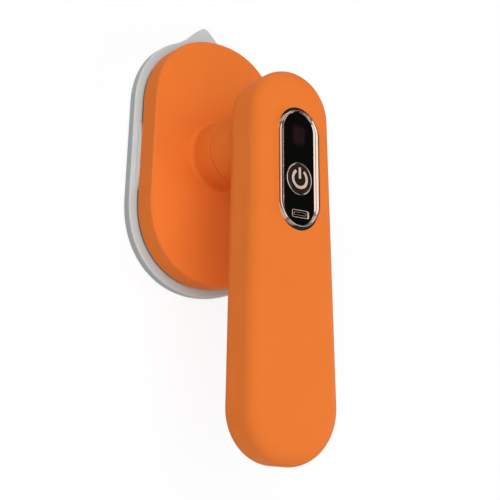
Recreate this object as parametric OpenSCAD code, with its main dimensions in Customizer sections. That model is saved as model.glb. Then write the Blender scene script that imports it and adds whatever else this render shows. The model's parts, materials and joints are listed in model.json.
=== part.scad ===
// Cordless handheld steam iron with a swivelling handle.
// It stands on its soleplate: +Z is the swivel axis, +Y points to the nose of the plate,
// and the origin is where the swivel axis meets the surface that the plate rests on.

/* [Head] */
// Half width of the head at its nose end
head_nose_r = 35.7; // [33:0.1:38]
// Half width of the head at its heel end
head_heel_r = 37.6; // [35:0.1:41]
// Reach of the head from the swivel axis to its nose end
head_nose_reach = 57.4; // [55:0.1:66]
// Reach of the head from the swivel axis to its heel end
head_heel_reach = 61.7; // [59:0.1:70]
// Fullness of the round ends of the head, where 2 is a true circle
head_fullness = 2.16; // [2:0.02:2.3]
// Height of the side of the head housing
head_side_h = 11.5; // [10.5:0.1:16]
// Rounding of the top edge of the head housing
head_edge = 1.2; // [0.4:0.1:1.8]
// Wall of the moulded shells
shell_wall = 2.2; // [1.8:0.1:2.6]

/* [Soleplate and rim] */
// Reach of the pale rim beyond the side of the head
rim_reach = 3.6; // [2.6:0.1:5]
// Height of the outer side of the rim
rim_h = 4.6; // [4.2:0.1:6]
// Height of the gap between the rim and the head housing
rim_gap = 1.6; // [1:0.1:3]
// Depth of the soleplate face below the rim
sole_drop = 0.8; // [0.4:0.1:1.4]
// Thickness of the soleplate
sole_t = 2.6; // [2:0.1:3]
// Inset of the soleplate edge from the outside of the rim
sole_inset = 1.3; // [1:0.1:2]
// Length of the pointed nose beyond the round end
nose_length = 9; // [5:0.1:11]
// Half width over which the nose blends into the round end
nose_spread = 18; // [14:0.5:22]
// Rounding of the tip of the nose
nose_round = 2.5; // [1.5:0.1:4]
// Half length of the raised clip on each side of the rim
clip_half = 17; // [12:0.5:22]
// Diameter of a steam port
port_d = 2.6; // [2:0.1:3.4]
// Radius of the arc of steam ports about the nose end
port_arc_r = 16.2; // [14:0.1:17]
// Number of steam ports on that arc
port_count = 7; // [5:1:9]
// Number of steam ports along each leg behind the arc
port_leg_count = 3; // [1:1:4]
// Distance between ports along a leg
port_pitch = 12; // [8:0.5:13]

/* [Steam system] */
// Inset of the steam chamber wall from the side of the head
chamber_inset = 13; // [12.5:0.1:14]
// Thickness of the steam chamber wall
chamber_wall = 2; // [1.4:0.1:2.4]
// Height of the steam chamber above the soleplate
chamber_h = 4; // [3.5:0.1:4.5]
// Thickness of the steam chamber cover
cover_t = 1; // [0.8:0.1:1.2]
// Radius of the tube of the heating element
heater_r = 2.2; // [1.6:0.1:2.4]
// Inset of the heating element from the side of the head
heater_inset = 9.6; // [9:0.1:10]
// Thickness of the heat shield
shield_t = 0.8; // [0.5:0.1:1]
// Wall of the water tank
tank_wall = 1.2; // [0.8:0.1:1.6]
// Radius of the open middle of the water tank
tank_hole_r = 15.2; // [14.8:0.1:17]
// Distance of the water filler from the head's straight side
filler_inset = 15.7; // [14:0.1:17]
// Lengthways place of the filler opening, toward the heel
filler_back = 24; // [18:0.5:28]
// Radius of the bore of the filler spout
filler_r = 3.9; // [3:0.1:5]
// Wall of the filler spout
spout_wall = 1.3; // [0.8:0.1:1.6]
// Radius of the cap of the filler plug
plug_cap_r = 7.2; // [6.8:0.1:9]
// Thickness of the cap of the filler plug
plug_cap_t = 1.8; // [1.2:0.1:2.6]
// Length of the stem of the filler plug
plug_stem = 5; // [3:0.1:6]
// Radius of the water pump
pump_r = 5.2; // [4.4:0.1:5.4]
// Height of the water pump
pump_h = 14.6; // [12:0.1:15.2]
// Distance of the pump from the swivel axis
pump_x = 7.3; // [7:0.1:7.8]

/* [Swivel neck] */
// Radius of the neck on the head
neck_r = 16; // [15.5:0.1:18]
// Height of the neck on the head
neck_h = 13.5; // [13.3:0.1:20]
// Concave blend at the foot of the neck
neck_blend = 2.3; // [1.4:0.1:6]
// Gap between the neck and the boss that turns on it
swivel_gap = 0.4; // [0.3:0.05:0.6]
// Height of the boss below the back of the handle
boss_h = 18.6; // [16:0.1:24]
// Radius of the blend between the boss and the handle
boss_blend = 13; // [8:0.5:16]
// Outer radius of the hollow spindle
spindle_r = 6; // [5.4:0.1:6.6]
// Bore radius of the hollow spindle
spindle_bore_r = 4; // [3:0.1:4.6]
// Running clearance of the spindle in its bush
bush_gap = 0.05; // [0.02:0.01:0.1]
// Radius of the circle of detent dimples
detent_r = 11.7; // [11.4:0.1:11.8]
// Radius of a detent dome
dome_r = 2; // [1.6:0.1:2.2]

/* [Handle] */
// Half width of the handle at its upper end
handle_top_r = 20.7; // [20:0.1:24]
// Half width of the handle at its lower end
handle_end_r = 23.8; // [22.8:0.1:27]
// Reach of the handle from the swivel axis to its upper end
handle_top_reach = 27.6; // [27:0.1:36]
// Thickness of the handle from back to front
handle_t = 24.1; // [23.8:0.1:28]
// Rounding of the front edge of the handle, down to the parting line
front_round = 7.7; // [6:0.1:8.6]
// Rounding of the back edge of the handle
back_round = 7; // [5:0.1:8]

/* [Control panel] */
// Half width of the bezel
bezel_half_w = 10.9; // [10.2:0.1:11.6]
// Half length of the bezel
bezel_half_l = 26.6; // [25:0.1:29]
// Distance of the middle of the bezel below the swivel axis
bezel_back = 17; // [15.4:0.1:18.4]
// Height of the bezel above the front of the handle
bezel_rise = 1.2; // [0.8:0.1:1.6]
// Overlap of the bezel on the front of the handle
bezel_lap = 0.9; // [0.5:0.1:1.2]
// Width of the visible top of the bezel
bezel_band = 2.3; // [1.8:0.1:2.4]
// Depth of the window below the top of the bezel
window_depth = 1; // [0.8:0.1:1.6]
// Thickness of the window
window_t = 1.6; // [1.2:0.1:2]
// Distance of the power button below the swivel axis
button_back = 21.6; // [20:0.1:23]
// Radius of the ring round the power button
button_ring_r = 7; // [6:0.1:7.4]
// Width of that ring
button_ring_w = 0.6; // [0.4:0.1:0.9]
// Travel of the power button
button_travel = 0.6; // [0.3:0.1:0.8]
// Width of the display
display_w = 8.2; // [7:0.1:9.4]
// Length of the display
display_l = 10.2; // [9:0.1:11]
// Distance of the middle of the display below the swivel axis
display_back = 2.6; // [1.8:0.1:3.6]
// Distance of the battery mark below the swivel axis
battery_mark_back = 36.5; // [35.2:0.1:37.2]
// Length of the battery mark across the panel
battery_mark_l = 9.4; // [7:0.1:10]
// Height of the battery mark
battery_mark_h = 3.3; // [2.6:0.1:4]
// Height of the plated marks above the surface that they lie on
mark_rise = 0.15; // [0.1:0.05:0.3]

/* [Electrics] */
// Diameter of a battery cell
cell_d = 18.4; // [14:0.1:18.6]
// Length of a battery cell
cell_l = 65; // [50:0.5:72]
// Distance from the swivel axis to the near end of the cells
cell_start = 56; // [55.8:0.1:58]
// Gap between the two cells
cell_gap = 0.4; // [0.2:0.1:0.6]
// Room past the cells for the charging socket, up to the lower end of the handle
end_room = 19.4; // [17:0.1:24]
// Width of the circuit board
board_w = 25; // [23:0.5:27]
// Thickness of the circuit boards
board_t = 1.6; // [1:0.1:1.6]
// Width of the opening of the charging socket
socket_w = 9; // [8.6:0.1:9.4]
// Height of the opening of the charging socket
socket_h = 3.3; // [3:0.1:3.6]
// Radius of the wire bundle through the swivel
loom_r = 1.4; // [1:0.1:1.6]

/* [Hidden] */
$fn = 64;

// Clearance between fitted pieces of one body
fit = 0.1;
// Clearance of a piece that lies loose beside another
loose = 0.3;
// Overshoot of a cutting shape past the face that it cuts
cut = 1;
// Segments of each round end of a formula outline
end_steps = 26;
// Segments of each rounded long edge
edge_steps = 5;

// Angle that the straight sides of the head lean outward from nose to heel
head_tilt = asin((head_heel_r - head_nose_r)
    / (head_nose_reach + head_heel_reach - head_nose_r - head_heel_r));

// Place of the water filler across the head
filler_x = head_nose_r - filler_inset;

// Reach of the cells and of the handle below the swivel axis
cell_end = cell_start + cell_l;
handle_end_reach = cell_end + end_room;

// Heights through the head, from the resting surface up
rim_z = sole_drop;
rim_top = rim_z + rim_h;
housing_z = rim_top + rim_gap;
head_top = housing_z + head_side_h;
roof_z = head_top - shell_wall;
chamber_top = sole_t + chamber_h;
cover_top = chamber_top + cover_t;
shield_z = cover_top + loose;
tank_z = shield_z + shield_t + loose;
tank_top = roof_z - loose;

// Places of the screws in the chamber cover, from the middles of the round ends
cover_screw_x = 8;
cover_screw_back = 6;
cover_screw_r = 0.95;
cover_screw_head_r = 1.9;
cover_screw_floor = 0.5;

// Heights through the swivel
neck_top = head_top + neck_h;
deck_z = neck_top - shell_wall;
boss_z = neck_top + swivel_gap;
boss_deck_top = boss_z + shell_wall;
boss_r = neck_r - 0.1;
bush_flange_t = 1;
washer_t = 0.8;
nut_h = 3.5;
washer_z = boss_deck_top + bush_flange_t + fit;
nut_z = washer_z + washer_t + fit;
spindle_flange_t = 2;
spindle_flange_r = spindle_r + 4;
spindle_top = nut_z + nut_h + 2;
grommet_h = 3;
bush_r = spindle_r + 2;
disc_t = 0.8;
detent_inner_r = bush_r + 1.3;
detent_outer_r = detent_r + 2.1;
dimple_depth = 0.4;
leaf_t = 0.4;
leaf_groove = 1.2;

// Heights through the handle
handle_z = neck_top + swivel_gap + boss_h;
handle_top = handle_z + handle_t;
seam_z = handle_top - front_round;
floor_z = handle_z + shell_wall;
ceiling_z = handle_top - shell_wall;

// Heights of the control panel
bezel_top = handle_top + bezel_rise;
window_top = bezel_top - window_depth;
window_z = window_top - window_t;
bezel_run = 2 * (bezel_half_l - bezel_half_w);
skirt_r = bezel_half_w - bezel_lap;
lip_r = bezel_half_w - bezel_band - 0.4;
pane_r = skirt_r - 0.7;
skirt_z = window_z - 0.7;
button_r = button_ring_r - button_ring_w - fit;
button_rise = 0.4;
button_top = window_top + button_rise;
button_h = 2.6;
button_z = button_top - button_h;
switch_h = 2;
board_top = button_z - button_travel - fit - switch_h;
board_z = board_top - board_t;
board_gap = 7;
board_y0 = -(cell_start - board_gap);
board_y1 = bezel_half_l - bezel_back + 1;
board_post_r = 2.4;
board_screw_r = 0.9;
board_screw_head_r = 1.8;
board_screw_head_t = 1;
board_screw_grip = 3;
board_places = [for (y = [bezel_half_l - bezel_back - 2, -bezel_half_l - bezel_back - 2],
    side = [-1, 1]) [side * (board_w / 2 - board_post_r - 0.5), y]];

// Places of the cells, the charging socket and the handle screws
cell_r = cell_d / 2;
cell_x = cell_r + cell_gap / 2;
cradle_base = 0.6;
cell_z = floor_z + fit + cradle_base + cell_r;
strip_t = 0.3;
strip_w = 6;
strip_lap = 4;
socket_depth = 7.4;
socket_y = -(handle_end_reach - 0.6);
socket_z = cell_z;
socket_wall = 0.3;
charge_board_w = 14;
post_inset = 11.5;
post_x = 11;
post_r = 2.8;
screw_r = 1.2;
screw_head_r = 2.3;
screw_head_t = 1.4;
screw_places = [[0, handle_top_reach - 6.4], [0, -(cell_start - 4.1)],
    [-post_x, -(handle_end_reach - post_inset)], [post_x, -(handle_end_reach - post_inset)]];

// The two round ends of an outline as points, tangent to the straight sides.
// Ends: near radius r1 at reach y1 along +Y, far radius r2 at reach y2 along -Y.
function end_point(r, centre_y, t, e) =
    [r * sign(cos(t)) * pow(abs(cos(t)), e), centre_y + r * sign(sin(t)) * pow(abs(sin(t)), e)];

function oval(r1, r2, y1, y2, fullness, grow) =
    let (tilt = asin((r2 - r1) / (y1 + y2 - r1 - r2)), e = 2 / fullness, sweep = 180 - 2 * tilt)
    concat(
        [for (i = [0:end_steps]) end_point(r1 + grow, y1 - r1, tilt + sweep * i / end_steps, e)],
        [for (i = [0:end_steps])
            end_point(r2 + grow, r2 - y2, 180 - tilt + (360 - sweep) * i / end_steps, e)]);

function head_oval(grow) =
    oval(head_nose_r, head_heel_r, head_nose_reach, head_heel_reach, head_fullness, grow);

function handle_oval(grow) =
    oval(handle_top_r, handle_end_r, handle_top_reach, handle_end_reach, 2, grow);

// Height of the pointed nose over the round end, at a distance x from the centre line
function nose_rise(x) =
    let (slope = 1 - sqrt(x * x + nose_round * nose_round) / nose_spread,
         crest = 1 - nose_round / nose_spread)
    slope > 0 ? nose_length * pow(slope / crest, 2) : 0;

function rim_oval(grow) =
    [for (p = head_oval(rim_reach + grow)) [p.x, p.y + (p.y > 0 ? nose_rise(p.x) : 0)]];

// A flat-sided solid of an outline between two heights
module slab(points, z0, z1) {
    translate([0, 0, z0])
        linear_extrude(height = z1 - z0)
            polygon(points);
}

// A tube or ring about the Z axis
module tube(outer, inner, z0, z1) {
    translate([0, 0, z0])
        difference() {
            cylinder(r = outer, h = z1 - z0);
            translate([0, 0, -cut])
                cylinder(r = inner, h = z1 - z0 + 2 * cut);
        }
}

// A solid through a stack of level outlines, each given as [points, height]
module loft(rings) {
    n = len(rings[0][0]);
    last = len(rings) - 1;
    polyhedron(
        points = [for (ring = rings) for (p = ring[0]) [p.x, p.y, ring[1]]],
        faces = concat(
            [[for (i = [0:n - 1]) i]],
            [for (k = [0:last - 1]) for (i = [0:n - 1])
                [k * n + i, (k + 1) * n + i, (k + 1) * n + (i + 1) % n, k * n + (i + 1) % n]],
            [[for (i = [n - 1:-1:0]) last * n + i]]));
}

// Outlines of the back half of the handle, all surfaces shrunk by "inset"
function back_rings(inset, past) =
    let (bend = back_round - inset)
    concat(
        [for (i = [0:edge_steps]) let (a = 90 * i / edge_steps)
            [handle_oval(-inset - bend * (1 - sin(a))), handle_z + inset + bend * (1 - cos(a))]],
        [[handle_oval(-inset), seam_z + past]]);

// Outlines of the front half of the handle, all surfaces shrunk by "inset"
function front_rings(inset, past) =
    let (bend = front_round - inset)
    concat(
        past > 0 ? [[handle_oval(-inset), seam_z - past]] : [],
        [for (i = [edge_steps:-1:0]) let (a = 90 * i / edge_steps)
            [handle_oval(-inset - bend * (1 - sin(a))), handle_top - inset - bend * (1 - cos(a))]]);

// A ring of one profile swept round a stadium with straight sides of length "run"
module stadium_sweep(run) {
    for (side = [0, 1])
        mirror([side, 0, 0])
            translate([0, run / 2, 0])
                rotate([90, 0, 0])
                    linear_extrude(height = run)
                        children();
    for (turn = [0, 180])
        rotate([0, 0, turn])
            translate([0, run / 2, 0])
                rotate_extrude(angle = 180)
                    children();
}

// A solid stadium with round ends of radius r
module stadium(r, run, z0, z1) {
    translate([0, 0, z0])
        linear_extrude(height = z1 - z0)
            union() {
                square([2 * r, run], center = true);
                for (end = [-1, 1])
                    translate([0, end * run / 2])
                        circle(r = r);
            }
}

// Places of the steam ports: an arc round the nose end and a leg down each side
module at_ports() {
    centre_y = head_nose_reach - head_nose_r;
    for (i = [0:port_count - 1])
        translate([port_arc_r * cos(180 * i / (port_count - 1)),
            centre_y + port_arc_r * sin(180 * i / (port_count - 1)), 0])
            children();
    for (side = [-1, 1], k = [1:port_leg_count])
        translate([side * port_arc_r, centre_y - k * port_pitch, 0])
            children();
}

// Places of the four screws that hold the steam chamber cover
module at_cover_screws() {
    for (y = [head_nose_reach - head_nose_r - cover_screw_back, head_heel_r - head_heel_reach - cover_screw_x],
        side = [-1, 1])
        translate([side * cover_screw_x, y, 0])
            children();
}

// Cast plate with steam ports, lead-in edge and the wall of the steam chamber
module soleplate() {
    lead_in = 0.6;
    color([0.80, 0.80, 0.78])
        difference() {
            union() {
                slab(rim_oval(-sole_inset - lead_in), 0, sole_t);
                slab(rim_oval(-sole_inset), lead_in, sole_t);
                difference() {
                    slab(head_oval(-chamber_inset), sole_t, chamber_top);
                    slab(head_oval(-chamber_inset - chamber_wall), sole_t, chamber_top + cut);
                }
                at_cover_screws()
                    translate([0, 0, sole_t])
                        cylinder(r = cover_screw_head_r + 0.5, h = chamber_h);
            }
            at_ports()
                translate([0, 0, -cut])
                    cylinder(d = port_d, h = sole_t + 2 * cut);
            at_cover_screws()
                translate([0, 0, sole_t])
                    cylinder(r = cover_screw_r + 0.05, h = chamber_h + cut);
        }
}

// Pale moulded rim that wraps the plate edge, with a raised clip on each side
module heat_guard() {
    edge = 0.4;
    clip_reach = 1.4;
    clip_r = (pow(clip_half, 2) + pow(rim_gap + 0.6, 2)) / (2 * (rim_gap + 0.6));
    color([0.83, 0.84, 0.83])
        difference() {
            union() {
                slab(rim_oval(0), rim_z, rim_top - 2 * edge);
                slab(rim_oval(-0.3 * edge), rim_z, rim_top - edge);
                slab(rim_oval(-edge), rim_z, rim_top);
                intersection() {
                    slab(head_oval(clip_reach), rim_top - edge, housing_z - fit);
                    translate([0, -2, rim_top + rim_gap + 0.6 - clip_r])
                        rotate([0, 90, 0])
                            cylinder(r = clip_r, h = 4 * head_heel_r, center = true, $fn = 200);
                }
            }
            slab(rim_oval(-sole_inset + fit), rim_z - cut, sole_t + fit);
            slab(head_oval(-5), rim_z, housing_z + cut);
            difference() {
                slab(head_oval(-2.2), rim_top, housing_z + cut);
                slab(head_oval(-5), rim_z, housing_z + cut);
            }
        }
}

// Dark seal between the rim and the head housing
module rim_gasket() {
    color([0.16, 0.15, 0.15])
        difference() {
            slab(head_oval(-shell_wall - fit), rim_top, housing_z + 1.2);
            slab(head_oval(-4.6), rim_top - cut, housing_z + 1.2 + cut);
        }
}

// Tubular heater bent in a U round the steam chamber, with its terminals at the heel
module heating_element() {
    bend_r = head_nose_r - heater_inset;
    leg = head_nose_reach - head_nose_r + head_heel_reach - head_heel_r + 6;
    pin = 6;
    color([0.45, 0.42, 0.40])
        translate([0, head_nose_reach - head_nose_r, sole_t + heater_r]) {
            rotate([0, 0, head_tilt])
                rotate_extrude(angle = 180 - 2 * head_tilt)
                    translate([bend_r, 0])
                        circle(r = heater_r);
            for (side = [0, 1])
                mirror([side, 0, 0])
                    rotate([0, 0, head_tilt])
                        translate([bend_r, 0, 0])
                            rotate([90, 0, 0]) {
                                cylinder(r = heater_r, h = leg);
                                translate([0, 0, leg])
                                    cylinder(r = 0.45 * heater_r, h = pin);
                            }
        }
}

// Pressed cover of the steam chamber, with the nozzle for the water
module chamber_cover() {
    nozzle_r = 1.6;
    nozzle_h = 2;
    color([0.72, 0.73, 0.75])
        difference() {
            union() {
                slab(head_oval(-chamber_inset + 0.6), chamber_top, cover_top);
                translate([-pump_x, 0, chamber_top])
                    cylinder(r = nozzle_r, h = cover_t + nozzle_h);
            }
            translate([-pump_x, 0, chamber_top - cut])
                cylinder(r = nozzle_r - 0.7, h = cover_t + nozzle_h + 2 * cut);
            at_cover_screws()
                translate([0, 0, chamber_top - cut])
                    cylinder(r = cover_screw_r + 0.15, h = cover_t + 2 * cut);
        }
}

module cover_screws() {
    color([0.60, 0.60, 0.62])
        at_cover_screws() {
            translate([0, 0, sole_t + cover_screw_floor])
                cylinder(r = cover_screw_r, h = cover_top - sole_t - cover_screw_floor);
            translate([0, 0, cover_top])
                cylinder(r = cover_screw_head_r, h = loose);
        }
}

// Disc thermostat on the chamber cover
module thermostat() {
    off_axis = 8.6;
    color([0.75, 0.72, 0.62])
        translate([off_axis, 0, cover_top]) {
            cylinder(r = 4, h = 3.4);
            cylinder(r = 3, h = 5);
        }
}

module thermal_fuse() {
    fuse_r = 1.5;
    fuse_l = 10;
    fuse_y = 9.8;
    color([0.78, 0.78, 0.74])
        translate([-fuse_l / 2, fuse_y, cover_top + fuse_r])
            rotate([0, 90, 0])
                cylinder(r = fuse_r, h = fuse_l);
}

// Insulating sheet between the hot plate and the water tank
module heat_shield() {
    color([0.85, 0.82, 0.72])
        difference() {
            slab(head_oval(-6), shield_z, shield_z + shield_t);
            translate([0, 0, shield_z - cut])
                cylinder(r = tank_hole_r - 1, h = shield_t + 2 * cut);
        }
}

// Hollow tank with an open middle, an outlet to the pump and the filler spout
module water_tank() {
    color([0.80, 0.88, 0.92])
        difference() {
            union() {
                difference() {
                    slab(head_oval(-shell_wall - loose), tank_z, tank_top);
                    slab(head_oval(-shell_wall - loose - tank_wall), tank_z + tank_wall, tank_top - tank_wall);
                }
                translate([0, 0, tank_z])
                    cylinder(r = tank_hole_r + tank_wall, h = tank_top - tank_z);
                translate([filler_x, -filler_back, tank_top - tank_wall])
                    cylinder(r = filler_r + spout_wall, h = head_top - plug_cap_t / 2 - tank_top + tank_wall);
            }
            translate([0, 0, tank_z - cut])
                cylinder(r = tank_hole_r, h = tank_top - tank_z + 2 * cut);
            translate([filler_x, -filler_back, tank_z + 2 * tank_wall])
                cylinder(r = filler_r, h = head_top);
            translate([0, 0, (tank_z + tank_top) / 2])
                rotate([0, -90, 0])
                    cylinder(r = 1, h = tank_hole_r + 2 * tank_wall);
        }
}

// Small upright pump beside the swivel axis, with its two nozzles
module water_pump() {
    pump_z = cover_top + 3.4;
    color([0.20, 0.20, 0.22])
        translate([-pump_x, 0, 0]) {
            translate([0, 0, pump_z])
                cylinder(r = pump_r, h = pump_h);
            translate([0, 0, cover_top + 2.1])
                cylinder(r = 1.5, h = pump_z - cover_top - 2.1);
            translate([-pump_r + 0.4, 0, (tank_z + tank_top) / 2])
                rotate([0, -90, 0])
                    cylinder(r = 1.5, h = 1.4);
        }
}

// Clip that holds the pump to the inside of the neck
module pump_clip() {
    arm = neck_r - shell_wall - pump_x - pump_r;
    color([0.86, 0.86, 0.84])
        translate([-pump_x, 0, head_top + 4])
            difference() {
                union() {
                    cylinder(r = pump_r + fit + 1.2, h = 4);
                    translate([-pump_r - arm + fit, -3, 0])
                        cube([arm, 6, 4]);
                }
                translate([0, 0, -cut])
                    cylinder(r = pump_r + 0.02, h = 4 + 2 * cut);
                translate([0, 0, -cut])
                    rotate([0, 0, -45])
                        cube([2 * pump_r, 2 * pump_r, 4 + 2 * cut]);
                translate([pump_x, 0, -cut])
                    difference() {
                        cylinder(r = 2 * neck_r, h = 4 + 2 * cut);
                        translate([0, 0, -cut])
                            cylinder(r = neck_r - shell_wall - 0.05, h = 4 + 4 * cut);
                    }
            }
}

// Short hose from the tank's outlet, cut to the round wall that it meets
module inlet_hose() {
    gap = tank_hole_r - pump_x - pump_r;
    hose_z = (tank_z + tank_top) / 2;
    color([0.92, 0.93, 0.92])
        intersection() {
            translate([-pump_x - pump_r - fit / 2, 0, hose_z])
                rotate([0, -90, 0])
                    difference() {
                        cylinder(r = 2.3, h = gap + cut);
                        translate([0, 0, -cut])
                            cylinder(r = 1.52, h = gap + 3 * cut);
                    }
            translate([0, 0, tank_z])
                cylinder(r = tank_hole_r - fit / 2, h = tank_top - tank_z);
        }
}

module outlet_hose() {
    color([0.92, 0.93, 0.92])
        translate([-pump_x, 0, 0])
            tube(2.5, 1.62, cover_top + fit / 2, cover_top + 3.4 - fit / 2);
}

// Moulded head with its vertical side, the hollow neck and the deck that carries the spindle
module head_housing() {
    color([0.93, 0.46, 0.18])
        difference() {
            union() {
                loft(concat(
                    [[head_oval(0), housing_z]],
                    [for (a = [0:30:90])
                        [head_oval(-head_edge * (1 - cos(a))), head_top - head_edge * (1 - sin(a))]]));
                translate([0, 0, head_top - head_edge])
                    cylinder(r = neck_r, h = neck_h + head_edge);
                rotate_extrude()
                    difference() {
                        translate([0, roof_z])
                            square([neck_r + neck_blend, neck_blend + shell_wall]);
                        translate([neck_r + neck_blend, head_top + neck_blend])
                            circle(r = neck_blend);
                    }
            }
            slab(head_oval(-shell_wall), housing_z - cut, roof_z);
            translate([0, 0, roof_z - cut])
                cylinder(r = neck_r - shell_wall, h = deck_z - roof_z + cut);
            translate([0, 0, deck_z - cut])
                cylinder(r = spindle_r + 0.02, h = shell_wall + 2 * cut);
            translate([0, 0, neck_top - disc_t])
                difference() {
                    cylinder(r = detent_outer_r + fit, h = disc_t + cut);
                    translate([0, 0, -cut])
                        cylinder(r = detent_inner_r - fit, h = disc_t + 3 * cut);
                }
            translate([filler_x, -filler_back, roof_z - cut])
                cylinder(r = filler_r + spout_wall + fit, h = shell_wall + 2 * cut);
            translate([filler_x, -filler_back, head_top - plug_cap_t / 2 + fit])
                cylinder(r = plug_cap_r + loose, h = cut + plug_cap_t);
        }
}

// Soft plug of the filler opening, with a pull tab
module filler_plug() {
    tab = 4.5;
    cap_z = head_top - plug_cap_t / 2 + 2 * fit;
    color([0.30, 0.29, 0.29])
        translate([filler_x, -filler_back, 0]) {
            translate([0, 0, cap_z])
                cylinder(r = plug_cap_r, h = plug_cap_t);
            translate([0, 0, cap_z - plug_stem])
                cylinder(r = filler_r - 0.2, h = plug_stem);
            translate([0, 0, cap_z + plug_cap_t / 2 + loose])
                rotate([0, 0, -50])
                    translate([plug_cap_r - 1, 0, 0]) {
                        translate([0, -2.5, 0])
                            cube([tab - 1, 5, plug_cap_t / 2 - loose]);
                        translate([tab - 1, 0, 0])
                            cylinder(r = 2.5, h = plug_cap_t / 2 - loose);
                    }
        }
}

// Hollow spindle flanged under the deck of the neck
module swivel_spindle() {
    color([0.62, 0.63, 0.65])
        difference() {
            union() {
                translate([0, 0, deck_z - spindle_flange_t])
                    cylinder(r = spindle_flange_r, h = spindle_flange_t);
                translate([0, 0, deck_z])
                    cylinder(r = spindle_r, h = spindle_top - deck_z);
            }
            translate([0, 0, deck_z - spindle_flange_t - cut])
                cylinder(r = spindle_bore_r, h = spindle_top - deck_z + spindle_flange_t + 2 * cut);
        }
}

module spindle_washer() {
    color([0.90, 0.89, 0.85])
        tube(spindle_r + 3.8, spindle_r + 0.05, washer_z, washer_z + washer_t);
}

module spindle_nut() {
    color([0.70, 0.70, 0.72])
        translate([0, 0, nut_z])
            difference() {
                cylinder(r = spindle_r + 3.2, h = nut_h, $fn = 6);
                translate([0, 0, -cut])
                    cylinder(r = spindle_r + 0.02, h = nut_h + 2 * cut);
            }
}

// Steel disc with a dimple every 90 degrees
module detent_disc() {
    color([0.66, 0.67, 0.69])
        difference() {
            tube(detent_outer_r, detent_inner_r, neck_top - disc_t, neck_top);
            for (a = [0:90:270])
                rotate([0, 0, a])
                    translate([detent_r, 0, neck_top + dome_r - dimple_depth])
                        sphere(r = dome_r);
        }
}

// Wires from the head to the circuit board, straight along the swivel axis
module wire_loom() {
    color([0.75, 0.15, 0.12])
        translate([0, 0, cover_top + 1.2])
            cylinder(r = loom_r, h = board_z - loose - cover_top - 1.2);
}

module cable_grommet() {
    color([0.12, 0.12, 0.12]) {
        tube(spindle_bore_r - 0.02, loom_r + 0.02, spindle_top - grommet_h + 1, spindle_top);
        tube(spindle_r - 0.5, loom_r + 0.02, spindle_top, spindle_top + 1);
    }
}

// Round boss that flares into the back edge of the handle
module boss() {
    flare_z = handle_z + back_round - boss_blend + 1;
    intersection() {
        rotate_extrude()
            difference() {
                translate([0, boss_z])
                    square([neck_r + boss_blend, handle_z + back_round - boss_z]);
                translate([boss_r + boss_blend, flare_z])
                    circle(r = boss_blend);
                translate([boss_r, boss_z - cut])
                    square([2 * boss_blend, flare_z - boss_z + cut]);
            }
        slab(handle_oval(-0.05), boss_z, handle_z + back_round);
    }
}

// Back half of the handle, with the boss that turns on the neck
module rear_shell() {
    color([0.93, 0.46, 0.18])
        difference() {
            union() {
                difference() {
                    union() {
                        loft(back_rings(0, 0));
                        boss();
                    }
                    loft(back_rings(shell_wall, cut));
                }
                intersection() {
                    union()
                        for (place = screw_places)
                            translate([place.x, place.y, handle_z + 1])
                                cylinder(r = post_r, h = seam_z - handle_z - 1);
                    slab(handle_oval(-1), handle_z, seam_z);
                }
            }
            translate([0, 0, boss_deck_top])
                cylinder(r = boss_r - shell_wall, h = seam_z);
            translate([0, 0, boss_z - cut])
                cylinder(r = bush_r + 0.02, h = shell_wall + 2 * cut);
            translate([0, 0, boss_z - cut])
                difference() {
                    cylinder(r = detent_outer_r + 2 * fit, h = leaf_groove + cut);
                    translate([0, 0, -cut])
                        cylinder(r = detent_inner_r - fit, h = leaf_groove + 3 * cut);
                }
            for (place = screw_places)
                translate([place.x, place.y, handle_z - cut]) {
                    cylinder(r = screw_r + fit, h = handle_t);
                    cylinder(r = screw_head_r + fit, h = screw_head_t + 0.4 + cut);
                }
            translate([0, socket_y + socket_depth, socket_z])
                rotate([90, 0, 0])
                    stadium_bar(socket_w, socket_h, 2 * socket_depth);
        }
}

// A bar of stadium section, wide along X, that runs along Z
module stadium_bar(w, h, length) {
    linear_extrude(height = length)
        union() {
            square([w - h, h], center = true);
            for (end = [-1, 1])
                translate([end * (w - h) / 2, 0])
                    circle(d = h);
        }
}

// Front half of the handle, with the opening for the control panel
module front_shell() {
    color([0.94, 0.48, 0.20])
        difference() {
            union() {
                difference() {
                    loft(front_rings(0, 0));
                    loft(front_rings(shell_wall, cut));
                }
                intersection() {
                    union()
                        for (place = screw_places)
                            translate([place.x, place.y, seam_z])
                                cylinder(r = post_r, h = ceiling_z - seam_z + 0.5);
                    slab(handle_oval(-1), seam_z, handle_top - 1);
                }
                for (place = board_places)
                    translate([place.x, place.y, board_top])
                        cylinder(r = board_post_r, h = ceiling_z - board_top + 0.5);
            }
            translate([0, -bezel_back, 0])
                stadium(skirt_r + fit, bezel_run, seam_z, handle_top + cut);
            for (place = screw_places)
                translate([place.x, place.y, seam_z - cut])
                    cylinder(r = screw_r - 0.2, h = 4 + cut);
            for (place = board_places)
                translate([place.x, place.y, board_top - cut])
                    cylinder(r = board_screw_r, h = board_screw_grip + cut);
        }
}

// Flanged bush in the deck of the boss
module swivel_bush() {
    color([0.88, 0.88, 0.86])
        difference() {
            union() {
                translate([0, 0, boss_z])
                    cylinder(r = bush_r, h = shell_wall + bush_flange_t);
                translate([0, 0, boss_deck_top])
                    cylinder(r = bush_r + 1.8, h = bush_flange_t);
            }
            translate([0, 0, boss_z - cut])
                cylinder(r = spindle_r + bush_gap, h = shell_wall + bush_flange_t + 2 * cut);
        }
}

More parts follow.
